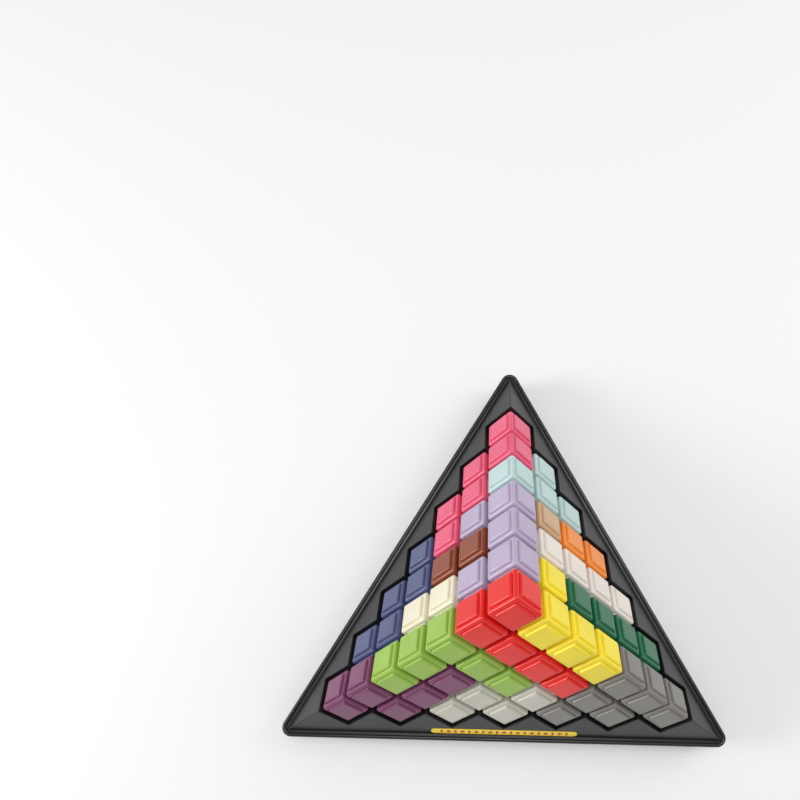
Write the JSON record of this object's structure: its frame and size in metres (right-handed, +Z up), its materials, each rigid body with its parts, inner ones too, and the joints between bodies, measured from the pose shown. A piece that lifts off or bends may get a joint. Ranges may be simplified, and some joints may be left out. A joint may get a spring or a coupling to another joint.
{
  "type": "block-packing pyramid puzzle",
  "caption": "Three-sided pyramid of coloured moulded cube-cell blocks standing corner down in a black triangular tray.",
  "frame": {"origin": "bottom centre of the bounding box, on the plane that the tray stands on", "axes": "+Z up through the apex of the pyramid; +Y toward the tray corner that is farthest away in the reference view; +X along the tray edge that carries the label, to the right"},
  "size_m": [0.2458, 0.2142, 0.1174],
  "materials": {
    "tray_plastic": "satin moulded ABS",
    "label_film": "printed gloss film",
    "red_plastic": "satin moulded ABS",
    "lavender_plastic": "satin moulded ABS",
    "pink_plastic": "satin moulded ABS",
    "navy_plastic": "satin moulded ABS",
    "lime_plastic": "satin moulded ABS",
    "purple_plastic": "satin moulded ABS",
    "silver_plastic": "satin moulded ABS",
    "grey_plastic": "satin moulded ABS",
    "cyan_plastic": "satin moulded ABS",
    "yellow_plastic": "satin moulded ABS",
    "green_plastic": "satin moulded ABS",
    "white_plastic": "satin moulded ABS",
    "orange_plastic": "satin moulded ABS",
    "tan_plastic": "satin moulded ABS",
    "brown_plastic": "satin moulded ABS",
    "cream_plastic": "satin moulded ABS",
    "inner_four_plastic": "satin moulded ABS",
    "inner_six_plastic": "satin moulded ABS"
  },
  "bodies": {
    "tray": {"tray": "tray_plastic", "label": "label_film"},
    "red": {"red_shell": "red_plastic", "red_back": "red_plastic"},
    "lavender": {"lavender_shell": "lavender_plastic", "lavender_back": "lavender_plastic"},
    "pink": {"pink_shell": "pink_plastic", "pink_back": "pink_plastic"},
    "navy": {"navy_shell": "navy_plastic", "navy_back": "navy_plastic"},
    "lime": {"lime_shell": "lime_plastic", "lime_back": "lime_plastic"},
    "purple": {"purple_shell": "purple_plastic", "purple_back": "purple_plastic"},
    "silver": {"silver_shell": "silver_plastic", "silver_back": "silver_plastic"},
    "grey": {"grey_shell": "grey_plastic", "grey_back": "grey_plastic"},
    "cyan": {"cyan_shell": "cyan_plastic", "cyan_back": "cyan_plastic"},
    "yellow": {"yellow_shell": "yellow_plastic", "yellow_back": "yellow_plastic"},
    "green": {"green_shell": "green_plastic", "green_back": "green_plastic"},
    "white": {"white_shell": "white_plastic", "white_back": "white_plastic"},
    "orange": {"orange_shell": "orange_plastic", "orange_back": "orange_plastic"},
    "tan": {"tan_shell": "tan_plastic", "tan_back": "tan_plastic"},
    "brown": {"brown_shell": "brown_plastic", "brown_back": "brown_plastic"},
    "cream": {"cream_shell": "cream_plastic", "cream_back": "cream_plastic"},
    "inner_four": {"inner_four_shell": "inner_four_plastic", "inner_four_back": "inner_four_plastic"},
    "inner_six": {"inner_six_shell": "inner_six_plastic", "inner_six_back": "inner_six_plastic"}
  },
  "joints": [
    {"name": "orange_lift", "type": "slide", "parent": "tray", "child": "orange", "axis": [0.7071, 0.4082, 0.5774], "range_m": [0, 0.06]},
    {"name": "tan_lift", "type": "slide", "parent": "tray", "child": "tan", "axis": [0.7071, 0.4082, 0.5774], "range_m": [0, 0.08]},
    {"name": "cyan_lift", "type": "slide", "parent": "tan", "child": "cyan", "axis": [0.7071, 0.4082, 0.5774], "range_m": [0, 0.04]},
    {"name": "inner_four_lift", "type": "slide", "parent": "tray", "child": "inner_four", "axis": [0.7071, 0.4082, 0.5774], "range_m": [0, 0.08]},
    {"name": "white_lift", "type": "slide", "parent": "inner_four", "child": "white", "axis": [0.7071, 0.4082, 0.5774], "range_m": [0, 0.04]},
    {"name": "inner_six_lift", "type": "slide", "parent": "tray", "child": "inner_six", "axis": [0.7071, 0.4082, 0.5774], "range_m": [0, 0.08]},
    {"name": "yellow_lift", "type": "slide", "parent": "inner_six", "child": "yellow", "axis": [0.7071, 0.4082, 0.5774], "range_m": [0, 0.04]},
    {"name": "green_lift", "type": "slide", "parent": "inner_six", "child": "green", "axis": [0.7071, 0.4082, 0.5774], "range_m": [0, 0.04]},
    {"name": "brown_lift", "type": "slide", "parent": "tray", "child": "brown", "axis": [-0.7071, 0.4082, 0.5774], "range_m": [0, 0.06]},
    {"name": "navy_lift", "type": "slide", "parent": "brown", "child": "navy", "axis": [-0.7071, 0.4082, 0.5774], "range_m": [0, 0.04]},
    {"name": "pink_lift", "type": "slide", "parent": "tray", "child": "pink", "axis": [-0.7071, 0.4082, 0.5774], "range_m": [0, 0.04]},
    {"name": "lavender_lift", "type": "slide", "parent": "tray", "child": "lavender", "axis": [-0.7071, 0.4082, 0.5774], "range_m": [0, 0.04]},
    {"name": "cream_lift", "type": "slide", "parent": "tray", "child": "cream", "axis": [0, -0.8165, 0.5774], "range_m": [0, 0.06]},
    {"name": "silver_lift", "type": "slide", "parent": "cream", "child": "silver", "axis": [0, -0.8165, 0.5774], "range_m": [0, 0.04]},
    {"name": "lime_lift", "type": "slide", "parent": "cream", "child": "lime", "axis": [0, -0.8165, 0.5774], "range_m": [0, 0.04]},
    {"name": "purple_lift", "type": "slide", "parent": "cream", "child": "purple", "axis": [0, -0.8165, 0.5774], "range_m": [0, 0.04]},
    {"name": "red_lift", "type": "slide", "parent": "tray", "child": "red", "axis": [0, -0.8165, 0.5774], "range_m": [0, 0.04]},
    {"name": "grey_lift", "type": "slide", "parent": "tray", "child": "grey", "axis": [0, -0.8165, 0.5774], "range_m": [0, 0.04]}
  ]
}
